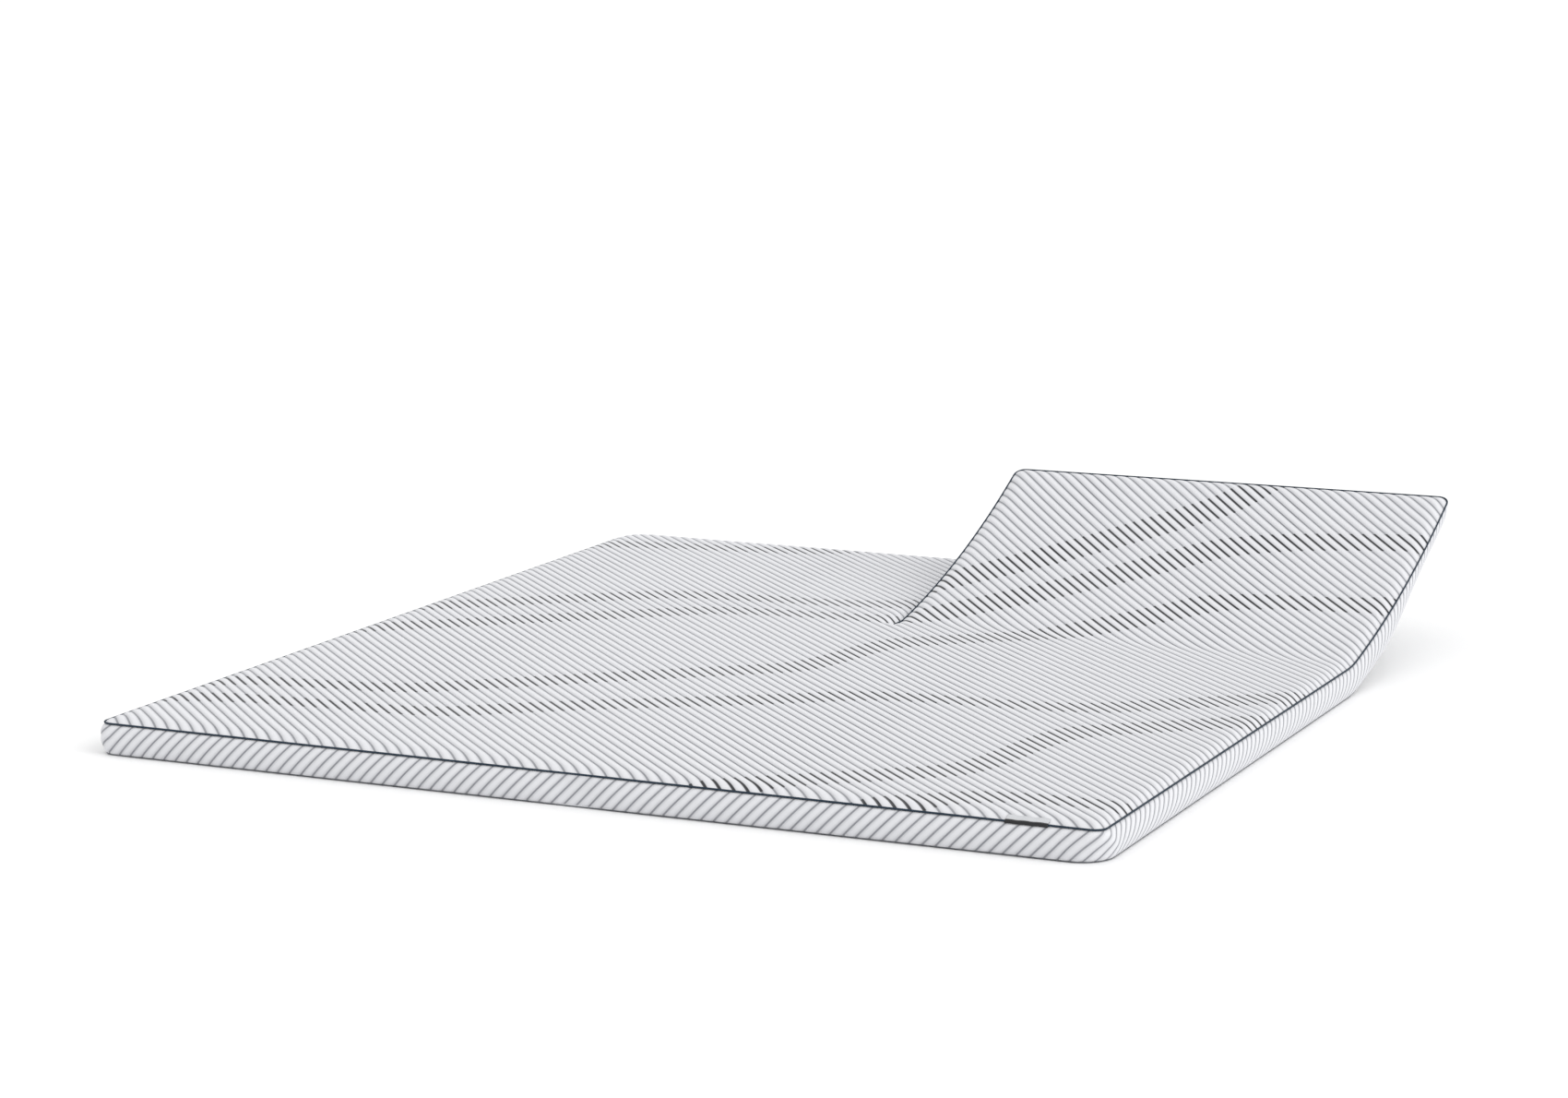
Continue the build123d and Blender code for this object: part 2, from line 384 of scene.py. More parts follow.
# ---- routes round the sewn edges ----
class Route:
    """A plan route with the outside on its right, rounded at its corners.
    Each corner fills a zone of fixed length, so rows with different radii stay in step."""

    def __init__(self, points, corners=(), zone=CORNER_ZONE):
        self.points = [np.array(p, float) for p in points]
        self.corners = corners
        self.radii = [seam for seam, base in corners]
        self.zone = zone
        self.parts = []
        length = 0.0
        last = len(self.points) - 2
        for i in range(last + 1):
            a, b = self.points[i], self.points[i + 1]
            ahead = (b - a) / np.linalg.norm(b - a)
            before = zone if i > 0 else 0.0
            after = zone if i < last else 0.0
            run = np.linalg.norm(b - a) - before - after
            self.parts.append(("run", length, run, a + ahead * before, ahead, None, None))
            length += run
            if i < last:
                turn = self.points[i + 2] - b
                turn = turn / np.linalg.norm(turn)
                nominal = 2 * after - (2 - math.pi / 2) * self.radii[i]
                self.parts.append(("corner", length, nominal, b - ahead * after, ahead, turn, i))
                length += nominal
        self.length = length

    def at(self, distance, radii=None):
        """Plan position and outward direction at each distance along the route."""
        distance = np.asarray(distance, float)
        radii = radii or [np.full(distance.shape, r) for r in self.radii]
        where = np.zeros(distance.shape + (2,))
        outward = np.zeros(distance.shape + (2,))
        for i, (kind, start, size, origin, ahead, turn, corner) in enumerate(self.parts):
            here = distance >= start if i else np.full(distance.shape, True)
            normal = np.array([ahead[1], -ahead[0]])
            local = distance - start
            if kind == "run":
                place_here = origin + local[..., None] * ahead
                normal_here = np.broadcast_to(normal, place_here.shape)
            else:
                radius = radii[corner]
                lead = self.zone - radius
                reach = np.clip(local / size, 0, 1) * (2 * lead + math.pi / 2 * radius)
                angle = np.clip((reach - lead) / radius, 0, math.pi / 2)
                straight = np.minimum(reach, lead)
                rest = np.maximum(reach - lead - math.pi / 2 * radius, 0)
                forward = straight + radius * np.sin(angle)
                sideways = radius * (1 - np.cos(angle)) + rest
                place_here = origin + forward[..., None] * ahead + sideways[..., None] * turn
                next_normal = np.array([turn[1], -turn[0]])
                normal_here = np.cos(angle)[..., None] * normal + np.sin(angle)[..., None] * next_normal
            where = np.where(here[..., None], place_here, where)
            outward = np.where(here[..., None], normal_here, outward)
        return where, outward


SLIT_TIP = (0.0, SLIT_START)


def edge_routes():
    """Every stretch of sewn edge: name, route, whether it is on the raised half, bulge, and
    the distance that its ribs are counted from. The distances join up from piece to piece."""
    w = HALF_WIDTH
    calf, thigh, back, pillow = (CUTS[k][1] for k in ("calf", "thigh", "back", "pillow"))
    foot_route = Route(
        [(-w, calf), (-w, 0), (w, 0), (w, calf)],
        [CORNERS["foot_left"], CORNERS["foot_right"]])
    left_head = Route(
        [(-SLIT_HALF, back), (-SLIT_HALF, pillow), (-w, pillow), (-w, back)],
        [CORNERS["slit"], CORNERS["head_left"]])
    right_head = Route(
        [(w, back), (w, pillow), (SLIT_HALF, pillow), (SLIT_HALF, back)],
        [CORNERS["head_right"], CORNERS["slit"]])
    tip = [(SLIT_HALF, SLIT_HALF)]
    right_slit = Route([(SLIT_HALF, back), (SLIT_HALF, SLIT_START), SLIT_TIP], tip, SLIT_HALF)
    left_slit = Route([SLIT_TIP, (-SLIT_HALF, SLIT_START), (-SLIT_HALF, back)], tip, SLIT_HALF)
    right = foot_route.length
    left = -(back - calf)
    return [
        ("calf", foot_route, False, BORDER_BULGE, 0.0),
        ("thigh_right", Route([(w, calf), (w, thigh)]), False, BORDER_BULGE, right),
        ("thigh_left", Route([(-w, thigh), (-w, calf)]), False, BORDER_BULGE, calf - thigh),
        ("back_right", Route([(w, thigh), (w, back)]), True, BORDER_BULGE, right + thigh - calf),
        ("back_left", Route([(-w, back), (-w, thigh)]), False, BORDER_BULGE, left),
        ("pillow_right", right_head, True, BORDER_BULGE, right + back - calf),
        ("pillow_left", left_head, False, BORDER_BULGE, left - left_head.length),
        ("slit_right", right_slit, True, SLIT_BULGE, right + back - calf + right_head.length),
        ("slit_left", left_slit, False, SLIT_BULGE, left - left_head.length - left_slit.length),
    ]


def base_radii(route, share):
    """Corner radii that grow from the top seam (share 0) to the base (share 1)."""
    return [seam + (base - seam) * smooth(share / CORNER_SPREAD) for seam, base in route.corners]


def bulge_at(route, distance, bulge):
    """Borders thin out where the outer bulge meets the slit."""
    where, _ = route.at(distance)
    near = smooth((np.abs(where[..., 0]) - SLIT_HALF) / SLIT_BULGE_REACH)
    return SLIT_BULGE + (bulge - SLIT_BULGE) * near


def border_rib(distance, height):
    """Count of slanting ribs up to a point of the border."""
    return (distance - height) / BORDER_PITCH


def border_height(share):
    """share runs from 0 at the top seam to 1 at the base seam."""
    return BORDER_TOP + (BORDER_BOTTOM - BORDER_TOP) * share


def border_point(route, raised, bulge, start, distance, share):
    """World position of the border: a bulge between its two seams, with slanting ribs."""
    where, outward = route.at(distance, base_radii(route, share))
    height = border_height(share)
    swell = bulge_at(route, distance, bulge)
    out = swell * np.sin(math.pi * np.clip(share, 0, 1)) ** BULGE_ROUND - BORDER_UNDERCUT * share
    middle = smooth(np.minimum(share, 1 - share) / BORDER_EDGE_REACH)
    room = middle * (1 - BORDER_EDGE_PUFF) + BORDER_EDGE_PUFF
    size = np.minimum(BORDER_PUFF, swell / 2)
    out = out + size * room * puff_shape(border_rib(start + distance, height))
    flat = where + out[..., None] * outward
    return place(flat[..., 0], flat[..., 1], height, raised)


# ---- corded seams ----
PIPING_RADIUS = 0.0016
PIPING_HEIGHT = 0.0545
PIPING_OUT = 0.0006
BASE_SEAM_RADIUS = 0.0006
BASE_SEAM_HEIGHT = 0.0013
CORD_STEP = 0.005
CORD_SIDES = 12


def cord_point(route, raised, radius, out, height, share, distance, angle):
    """A round cord sewn along a route, at its height and a little outside the cloth edge."""
    where, outward = route.at(distance, base_radii(route, share))
    flat = where + (out + radius * np.cos(angle))[..., None] * outward
    return place(flat[..., 0], flat[..., 1], height + radius * np.sin(angle), raised)


# ---- base cloth and foam ----
BASE_HEIGHT = 0.0008
BASE_INSET = 0.0015
BASE_GRID = 0.0125
FOAM_GRID = 0.025
FOAM_INSET = 0.008
# bottom and top of each foam layer
FOAM_LAYERS = {"memory_foam": (0.0300, 0.0510), "support_foam": (0.0030, 0.0297)}
# the underside is set up along the foot edge, and the zip lies in that shallow channel
ZIP_DEPTH = 0.0042
ZIP_FRONT = 0.0015
ZIP_BACK = 0.0165
ZIP_HALF_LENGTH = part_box("zip_tape")[1].x
ZIP_EASE = 0.010
# the first rows of the base cloth are set closer together, to follow the channel
ZIP_ROWS = 2


def zip_recess(x, s):
    """How much higher the underside lies over the zip."""
    front = smooth(s / ZIP_FRONT)
    back = 1 - smooth((s - ZIP_BACK) / ZIP_EASE)
    ends = 1 - smooth((np.abs(x) - ZIP_HALF_LENGTH) / ZIP_EASE)
    return ZIP_DEPTH * front * back * ends


def base_point(u, s, side):
    """The base cloth, set in a hair from the base seam."""
    x, s = plan_point(u, s, side, base=True)
    shrink = 1 - BASE_INSET / HALF_WIDTH
    return place(x * shrink, s, BASE_HEIGHT + zip_recess(x, s), side > 0)


def base_rows(start, end):
    """Rows across the base cloth, close together where it goes over the zip."""
    rows = spaced(start, end, BASE_GRID)
    if start > 0:
        return rows
    close = spaced(0, ZIP_ROWS * BASE_GRID, ZIP_FRONT)
    return np.concatenate([close, rows[ZIP_ROWS + 1:]])


def closed_faces(rows, columns):
    """Quads of two grids of points, one behind the other, joined round their rim."""
    count = rows * columns
    index = np.arange(count).reshape(rows, columns)
    quads = np.stack([index[:-1, :-1], index[1:, :-1], index[1:, 1:], index[:-1, 1:]], -1)
    quads = quads.reshape(-1, 4)
    rim = np.concatenate([index[:, 0], index[-1, 1:], index[-2::-1, -1], index[0, -2:0:-1]])
    after = np.roll(rim, -1)
    walls = np.stack([rim, after, after + count, rim + count], -1)
    return np.concatenate([quads[:, ::-1], quads + count, walls])


def slab_shell(name, start, end, side, bottom, top, material):
    """A closed block of foam that follows the same bends as the cover."""
    us = spaced(0, HALF_WIDTH, FOAM_GRID)
    ss = spaced(start, end, FOAM_GRID)
    u, s = np.meshgrid(us, ss, indexing="ij")
    x, s = plan_point(u, s, side, base=True)
    slit_room = slit_edge(s) + FOAM_INSET * (s > SLIT_START - FOAM_GRID)
    x = side * np.clip(np.abs(x), slit_room, HALF_WIDTH - FOAM_INSET)
    s = np.clip(s, FOAM_INSET, LENGTH - FOAM_INSET)
    low = bottom + (zip_recess(x, s) if bottom < FOAM_INSET else 0 * x)
    points = np.concatenate([place(x, s, h, side > 0).reshape(-1, 3) for h in (low, top + 0 * x)])
    faces = closed_faces(len(us), len(ss))
    if side < 0:
        faces = faces[:, ::-1]
    return mesh_object(name, points, faces, material=material)


# ---- materials ----
class Nodes:
    """A small helper that adds shader nodes and links them."""

    def __init__(self, name):
        self.material = bpy.data.materials.new(name)
        self.material.use_nodes = True
        self.tree = self.material.node_tree
        self.shader = self.tree.nodes["Principled BSDF"]

    def add(self, kind, **settings):
        node = self.tree.nodes.new("ShaderNode" + kind)
        for key, value in settings.items():
            setattr(node, key, value)
        return node

    def put(self, socket, value):
        if isinstance(value, bpy.types.NodeSocket):
            self.tree.links.new(value, socket)
        else:
            socket.default_value = value

    def math(self, operation, *values):
        node = self.add("Math", operation=operation)
        for socket, value in zip(node.inputs, values):
            self.put(socket, value)
        return node.outputs[0]

    def ramp(self, value, low, high, start=0.0, end=1.0):
        """Smooth step from start to end as value goes from low to high."""
        node = self.add("MapRange", interpolation_type="SMOOTHSTEP")
        sockets = ("Value", "From Min", "From Max", "To Min", "To Max")
        for key, setting in zip(sockets, (value, low, high, start, end)):
            self.put(node.inputs[key], setting)
        return node.outputs[0]

    def mix(self, share, first, second):
        node = self.add("Mix", data_type="RGBA")
        self.put(node.inputs["Factor"], share)
        self.put(node.inputs["A"], first)
        self.put(node.inputs["B"], second)
        return node.outputs["Result"]

    def value(self, name):
        return self.add("Attribute", attribute_name=name).outputs["Fac"]

    def cloth(self):
        """Cloth coordinates in metres, as two separate values and as a vector."""
        uv = self.add("UVMap", uv_map="cloth").outputs["UV"]
        parts = self.add("SeparateXYZ")
        self.put(parts.inputs[0], uv)
        return parts.outputs["X"], parts.outputs["Y"], uv

    def noise(self, vector, scale, detail=2.0):
        node = self.add("TexNoise")
        self.put(node.inputs["Vector"], vector)
        node.inputs["Scale"].default_value = scale
        node.inputs["Detail"].default_value = detail
        return node.outputs["Fac"]

    def wave(self, distance, period):
        """0 to 1 and back every period metres."""
        turned = self.math("MULTIPLY", distance, 2 * math.pi / period)
        return self.math("MULTIPLY_ADD", self.math("SINE", turned), 0.5, 0.5)

    def bump(self, height, distance, strength, under=None):
        node = self.add("Bump")
        node.inputs["Distance"].default_value = distance
        node.inputs["Strength"].default_value = strength
        self.put(node.inputs["Height"], height)
        if under is not None:
            self.put(node.inputs["Normal"], under)
        return node.outputs["Normal"]

    def finish(self, color, rough, normal=None, sheen=0.0, sheen_rough=0.5, specular=0.5):
        """Set the shader's own sockets and give back the finished material."""
        self.put(self.shader.inputs["Base Color"], color)
        self.put(self.shader.inputs["Roughness"], rough)
        self.shader.inputs["Sheen Weight"].default_value = sheen
        self.shader.inputs["Sheen Roughness"].default_value = sheen_rough
        self.shader.inputs["Specular IOR Level"].default_value = specular
        if normal is not None:
            self.put(self.shader.inputs["Normal"], normal)
        return self.material


# the ribs' pitch square to their grooves, the stitch length, and the knit's columns and loops
RIB_WIDTH = RIB_PITCH / math.sqrt(2)
STITCH_PITCH = 0.0048
KNIT_COLUMN = 0.0013
KNIT_LOOP = 0.0017
KNIT_STAGGER = 0.0004
CLOTH = (0.720, 0.724, 0.748, 1)
CLOTH_SHADE = (0.640, 0.645, 0.672, 1)
# grey of the stitch thread in the grooves, also the colour of the painted shade beside them
GROOVE_THREAD_AND_SHADE = (0.215, 0.222, 0.245, 1)
WAVE_THREAD = (0.010, 0.011, 0.014, 1)


def knit_bump(n, across, along):
    """Fine knitted columns with staggered loops."""
    columns = n.wave(across, KNIT_COLUMN)
    shift = n.math("MULTIPLY_ADD", columns, KNIT_STAGGER, along)
    loops = n.wave(shift, KNIT_LOOP)
    return n.math("MULTIPLY", columns, n.math("MULTIPLY_ADD", loops, 0.6, 0.4))


def quilt_material():
    """Light knitted cover cloth with stitched grooves, painted shade beside them, and darker wave
    stitching.
    """
    n = Nodes("quilted_cloth")
    across, along, uv = n.cloth()
    rib = n.value("rib")
    nearest = n.math("ABSOLUTE", n.math("SUBTRACT", rib, n.math("ROUND", rib)))
    gap = n.math("MULTIPLY", nearest, RIB_WIDTH)

    # cloth colour, with painted shade darkening it within a few millimetres of each groove
    heather = n.noise(uv, 900.0)
    patchy = n.noise(uv, 9.0)
    tint = n.math("MULTIPLY_ADD", heather, 0.35, n.math("MULTIPLY", patchy, 0.25))
    base = n.mix(tint, CLOTH, CLOTH_SHADE)
    # painted shade: within 7 mm of each groove the puffs are darkened towards the groove grey, where
    # their own shade falls
    shade = n.ramp(gap, 0.0020, 0.0070, 1.0, 0.0)
    shaded = n.mix(n.math("MULTIPLY", shade, 0.24), base, GROOVE_THREAD_AND_SHADE)

    # the stitch line at the bottom of every groove
    core = n.ramp(gap, 0.0009, 0.0024, 1.0, 0.0)
    stitch = n.wave(n.math("SUBTRACT", across, along), STITCH_PITCH)
    line = n.math("MULTIPLY", core, n.math("MULTIPLY_ADD", stitch, 0.14, 0.78))
    lined = n.mix(line, shaded, GROOVE_THREAD_AND_SHADE)

    # the dark thread, only inside the waves
    inside = n.ramp(n.value("wave"), -0.0012, 0.0012)
    dark_core = n.ramp(gap, 0.0018, 0.0032, 1.0, 0.0)
    dark = n.math("MULTIPLY", n.math("MULTIPLY", inside, dark_core), 0.95)
    color = n.mix(dark, lined, WAVE_THREAD)

    # knit, with the stitches pressed in
    knit = n.bump(knit_bump(n, across, along), 0.00018, 0.6)
    seam = n.math("MULTIPLY", core, n.math("MULTIPLY_ADD", stitch, 0.5, 0.5))
    normal = n.bump(n.math("SUBTRACT", 1.0, seam), 0.0006, 0.5, knit)
    rough = n.math("MULTIPLY_ADD", heather, 0.08, 0.84)
    return n.finish(color, rough, normal, sheen=0.25, specular=0.25)


def woven_material(name, color, second, period):
    """A plain weave of two close colours."""
    n = Nodes(name)
    across, along, uv = n.cloth()
    weft = n.wave(across, period)
    warp = n.wave(along, period)
    over = n.math("ABSOLUTE", n.math("SUBTRACT", weft, warp))
    fleck = n.noise(uv, 600.0)
    share = n.math("MULTIPLY_ADD", fleck, 0.5, n.math("MULTIPLY", over, 0.4))
    normal = n.bump(over, 0.00025, 0.7)
    return n.finish(n.mix(share, color, second), 0.85, normal, sheen=0.15, specular=0.3)


def cord_material(name, color, second, twist, depth):
    """Cord cloth with a slanting twill line."""
    n = Nodes(name)
    around, along, uv = n.cloth()
    slant = n.math("ADD", around, along)
    line = n.wave(slant, twist)
    fleck = n.noise(uv, 700.0)
    share = n.math("MULTIPLY_ADD", line, 0.5, n.math("MULTIPLY", fleck, 0.4))
    normal = n.bump(line, depth, 0.8)
    return n.finish(n.mix(share, color, second), 0.75, normal, sheen=0.05, specular=0.25)


def foam_material(name, color, second):
    """Open-cell foam: fine pores over a faint cloudiness."""
    n = Nodes(name)
    place_at = n.add("TexCoord").outputs["Object"]
    pores = n.noise(place_at, 900.0, 4.0)
    cloud = n.noise(place_at, 14.0)
    share = n.math("MULTIPLY_ADD", pores, 0.5, n.math("MULTIPLY", cloud, 0.4))
    normal = n.bump(pores, 0.0006, 0.8)
    return n.finish(n.mix(share, color, second), 0.92, normal, sheen=0.1, specular=0.2)


def satin_material(name, color, second):
    """Woven satin with fine crosswise ribs."""
    n = Nodes(name)
    across, along, uv = n.cloth()
    lines = n.wave(along, 0.00045)
    fleck = n.noise(uv, 500.0)
    color = n.mix(fleck, color, second)
    rough = n.math("MULTIPLY_ADD", lines, 0.08, 0.26)
    normal = n.bump(lines, 0.00008, 0.6)
    return n.finish(color, rough, normal, sheen=0.1, sheen_rough=0.3, specular=0.4)


def lacquer_material():
    """Dark lacquered metal, worn in specks."""
    n = Nodes("zip_lacquer")
    place_at = n.add("TexCoord").outputs["Object"]
    scuff = n.noise(place_at, 1200.0, 3.0)
    worn = n.ramp(scuff, 0.62, 0.70)
    color = n.mix(worn, (0.045, 0.055, 0.070, 1), (0.30, 0.31, 0.33, 1))
    rough = n.math("MULTIPLY_ADD", scuff, 0.2, 0.3)
    n.shader.inputs["Metallic"].default_value = 0.8
    return n.finish(color, rough, n.bump(scuff, 0.00005, 0.4))


QUILT = quilt_material()
PIPING = cord_material(
    "piping_cord", (0.008, 0.019, 0.034, 1), (0.022, 0.040, 0.064, 1), twist=0.0016, depth=0.0002)
BASE_SEAM = cord_material(
    "base_seam_cord", (0.10, 0.11, 0.125, 1), (0.19, 0.20, 0.22, 1), twist=0.0012, depth=0.0001)
BASE_CLOTH = woven_material("base_cloth", (0.62, 0.63, 0.65, 1), (0.70, 0.71, 0.73, 1), 0.0022)
MEMORY_FOAM = foam_material("memory_foam", (0.86, 0.85, 0.80, 1), (0.80, 0.79, 0.72, 1))
SUPPORT_FOAM = foam_material("support_foam", (0.66, 0.75, 0.82, 1), (0.60, 0.69, 0.77, 1))
SATIN = satin_material("label_satin_black", (0.004, 0.004, 0.005, 1), (0.012, 0.012, 0.014, 1))
# painted reflection: the leaf is the same black satin as the strip, painted light grey for the sheen it
# shows lying flat
SATIN_PAINTED_SHEEN = satin_material("label_satin_painted_sheen", (0.50, 0.51, 0.53, 1), (0.60, 0.61, 0.63, 1))
ZIP_TAPE = woven_material("zip_tape", (0.035, 0.045, 0.060, 1), (0.060, 0.072, 0.090, 1), 0.0011)
ZIP_METAL = lacquer_material()


# ---- pieces, and the hinge stretches near them ----
def joint_place(name):
    """Where a hinge line crosses the bed, along Y."""
    return JOINTS[name]["pos_m"][1]


BACK = joint_place("head_left_hinge")
# half the stretch that would bend at the knee and hip, and at a pillow hinge; follow() works out only
# the pillow one and bends nothing over it
PILLOW_SPREAD = 0.16
# a head half's bend would start at the slit's tip inside, and this far before its hinge at the side;
# follow() works this stretch out but bends nothing over it
BACK_LEAD = 0.05
BACK_BLEND = 0.17
BACK_TILT = (SLIT_START + FOOT - BACK + BACK_LEAD) / HALF_WIDTH


def follow(obj, part, side_name):
    """Bake a cover piece's placement into its mesh. The stretch where it would bend is worked out for
    the back and pillow pieces, but the piece is neither bent nor tied to a body.
    """
    if part == "calf":
        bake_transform(obj)
    elif part == "thigh":
        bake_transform(obj)
    elif part == "back":
        ahead = np.array([SIDES[side_name] * BACK_TILT, 1.0])
        ahead /= np.linalg.norm(ahead)
        start = np.array([0.0, SLIT_START + FOOT])
        end = start + ahead * BACK_BLEND
        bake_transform(obj)
    else:
        lower = np.array(JOINTS[f"head_{side_name}_hinge"]["pos_m"])
        upper = np.array(JOINTS[f"pillow_{side_name}_hinge"]["pos_m"])
        reach = (upper - lower) / np.linalg.norm(upper - lower) * PILLOW_SPREAD
        start, end = tuple(upper - reach), tuple(upper + reach)
        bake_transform(obj)


def layer_nodes(prefix, part, side_name):
    """The CAD nodes of one layer that a stretch of it replaces."""
    found = {
        "calf": [f"{prefix}_calf"],
        "thigh": [f"{prefix}_thigh"],
        "back": [f"{prefix}_seat", f"{prefix}_back_{side_name}"],
        "pillow": [f"{prefix}_pillow_{side_name}"],
    }
    return found[part]


def top_cloth(side):
    """The cloth coordinates, rib count and wave depth of one side of the top."""
    def cloth(u, s):
        x, along = plan_point(u, s, side)
        return x, along, {"rib": rib_number(x, along), "wave": wave_depth(x, along)}
    return cloth


def plain_cloth(a, b):
    return a, b, {}


def make_top(part, side_name):
    start, end = CUTS[part]
    side = SIDES[side_name]
    top = surface(
        f"quilted_top_{part}_{side_name}",
        lambda u, s: top_point(u, s, side),
        spaced(0, HALF_WIDTH, GRID),
        spaced(start, end, GRID),
        side < 0,
        QUILT,
        top_cloth(side),
    )
    follow(top, part, side_name)
    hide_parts(*layer_nodes("top_panel", part, side_name))


def make_base(part, side_name):
    start, end = CUTS[part]
    side = SIDES[side_name]
    base = surface(
        f"base_cloth_{part}_{side_name}",
        lambda u, s: base_point(u, s, side),
        spaced(0, HALF_WIDTH, BASE_GRID),
        base_rows(start, end),
        side > 0,
        BASE_CLOTH,
        plain_cloth,
    )
    follow(base, part, side_name)
    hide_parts(*layer_nodes("bottom_panel", part, side_name))


def make_foam(layer, material, part, side_name):
    start, end = CUTS[part]
    name = f"{layer}_layer_{part}_{side_name}"
    block = slab_shell(name, start, end, SIDES[side_name], *FOAM_LAYERS[layer], material)
    follow(block, part, side_name)
    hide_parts(*layer_nodes(layer, part, side_name))


for part in CUTS:
    for side_name in SIDES:
        make_top(part, side_name)
        make_base(part, side_name)
        make_foam("memory_foam", MEMORY_FOAM, part, side_name)
        make_foam("support_foam", SUPPORT_FOAM, part, side_name)


# ---- borders and corded seams ----
BORDER_STEP = 0.0028
BORDER_ROWS = 23
# the CAD nodes that each stretch of border, and of piping, replaces
BORDER_NODES = {
    "calf": ["calf"],
    "thigh_right": ["thigh_right"],
    "thigh_left": ["thigh_left"],
    "back_right": ["seat_right", "back_right_right"],
    "back_left": ["seat_left", "back_left_left"],
    "pillow_right": ["pillow_right_outer"],
    "pillow_left": ["pillow_left_outer"],
    "slit_right": ["back_right_left", "pillow_right_slit"],
    "slit_left": ["back_left_right", "pillow_left_slit"],
}
PIPING_NODES = dict(
    BORDER_NODES,
    pillow_right=["pillow_right"],
    pillow_left=["pillow_left"],
    slit_right=["back_right_left"],
    slit_left=["back_left_right"],
)


def route_part(name):
    """The stretch and side that a border piece belongs to."""
    if name == "calf":
        return "calf", "left"
    head, side_name = name.rsplit("_", 1)
    return ("back" if head == "slit" else head), side_name


def border_cloth(count):
    """The cloth coordinates and rib count of a border whose ribs start at distance count."""
    def cloth(distance, share):
        height = border_height(share)
        rib = border_rib(count + distance, height)
        return count + distance, height, {"rib": rib, "wave": NO_WAVE + 0 * rib}
    return cloth


def make_border(name, route, raised, bulge, count):
    border = surface(
        f"quilted_border_{name}",
        lambda distance, share: border_point(route, raised, bulge, count, distance, share),
        spaced(0, route.length, BORDER_STEP),
        np.linspace(0, 1, BORDER_ROWS),
        True,
        QUILT,
        border_cloth(count),
    )
    follow(border, *route_part(name))
    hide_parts(*[f"border_{node}" for node in BORDER_NODES[name]])


def make_cord(kind, name, route, raised, count, radius, out, height, share, material):
    """One stretch of round cord. share is 0 at the top seam and 1 at the base seam."""
    cord = surface(
        f"{kind}_cord_{name}",
        lambda d, a: cord_point(route, raised, radius, out, height + 0 * a, share + 0 * a, d, a),
        spaced(0, route.length, CORD_STEP),
        np.linspace(0, 2 * math.pi, CORD_SIDES + 1),
        False,
        material,
        lambda distance, angle: (radius * angle, count + distance, {}),
    )
    follow(cord, *route_part(name))
    return cord


def make_seams(name, route, raised, count):
    """The piping over a stretch of border and the thin seam under it."""
    piping = make_cord(
        "piping", name, route, raised, count,
        PIPING_RADIUS, PIPING_OUT, PIPING_HEIGHT, 0.0, PIPING)
    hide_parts(*[f"piping_{node}" for node in PIPING_NODES[name]])
    make_cord(
        "base_seam", name, route, raised, count,
        BASE_SEAM_RADIUS, 0.0, BASE_SEAM_HEIGHT, 1.0, BASE_SEAM)


for name, route, raised, bulge, count in edge_routes():
    make_border(name, route, raised, bulge, count)
    make_seams(name, route, raised, count)


# ---- woven label over the foot seam ----
LABEL_LOW, LABEL_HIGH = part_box("label")
LABEL_REACH = 0.012
LABEL_DROP = 0.0030
LABEL_SHEET = 0.0006
LABEL_LIFT = 0.0005
LABEL_RIPPLE = 0.00025
LABEL_COLUMNS = 36
# the leaf starts this far in from the cloth's edge, and lies over the ribs at this share of them
LEAF_START = 0.0012
LEAF_ROWS = 12
LEAF_REST = 0.75


def label_piece(name, path, material):
    """A thin satin strip along the foot seam, with the side profile that path gives."""
    path = np.array(path)
    ahead = np.gradient(path, axis=0)
    ahead /= np.linalg.norm(ahead, axis=1, keepdims=True)
    out = np.stack([ahead[:, 1], -ahead[:, 0]], -1)
    length = np.concatenate([[0], np.cumsum(np.linalg.norm(np.diff(path, axis=0), axis=1))])
    xs = np.linspace(LABEL_LOW.x, LABEL_HIGH.x, LABEL_COLUMNS)
    ripple = LABEL_RIPPLE * np.sin((xs - LABEL_LOW.x) * 2 * math.pi / RIB_PITCH)
    points, uv = [], []
    for rail in (path, path + out * LABEL_SHEET):
        x, reach = np.meshgrid(xs, length, indexing="ij")
        s, h = (np.broadcast_to(rail[:, i], x.shape) for i in (0, 1))
        points.append(np.stack([x, FOOT + s, h + ripple[:, None]], -1).reshape(-1, 3))
        uv.append(np.stack([x, reach], -1).reshape(-1, 2))
    faces = closed_faces(len(xs), len(path))
    return mesh_object(name, np.concatenate(points), faces, uv=np.concatenate(uv), material=material)


def leaf_path():
    """Side profile of the leaf that lies on the top."""
    crest = RIB_PUFF * LEAF_REST + LABEL_LIFT
    steps = np.linspace(LABEL_REACH, LEAF_START, LEAF_ROWS)
    return [(d, float(crown_height(np.array(d))) + crest) for d in steps]


def strip_path():
    """Side profile of the strip that folds over the piping and hangs in front of it."""
    fold = PIPING_HEIGHT + PIPING_RADIUS
    front = -PIPING_OUT - PIPING_RADIUS - LABEL_LIFT
    return [
        (0.0003, fold + LABEL_SHEET),
        (front + 0.0007, fold - 0.0001),
        (front, PIPING_HEIGHT - 0.0008),
        (front - 0.0010, PIPING_HEIGHT - LABEL_DROP),
    ]


def make_label(name, path, material):
    label = label_piece(name, path, material)
    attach(label, "calf")
    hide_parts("label")


# the leaf's light grey is a painted reflection on the black satin label
make_label("label_leaf", leaf_path(), SATIN_PAINTED_SHEEN)
make_label("label_strip", strip_path(), SATIN)


# ---- zip under the foot edge ----
TAPE_LOW, TAPE_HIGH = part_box("zip_tape")
COIL_LOW, COIL_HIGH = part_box("zip_coil")
ZIP_MIDDLE = (TAPE_LOW.y + TAPE_HIGH.y) / 2
ZIP_LENGTH = TAPE_HIGH.x - TAPE_LOW.x
TAPE_GAP = 0.0008
TAPE_THICKNESS = 0.0007
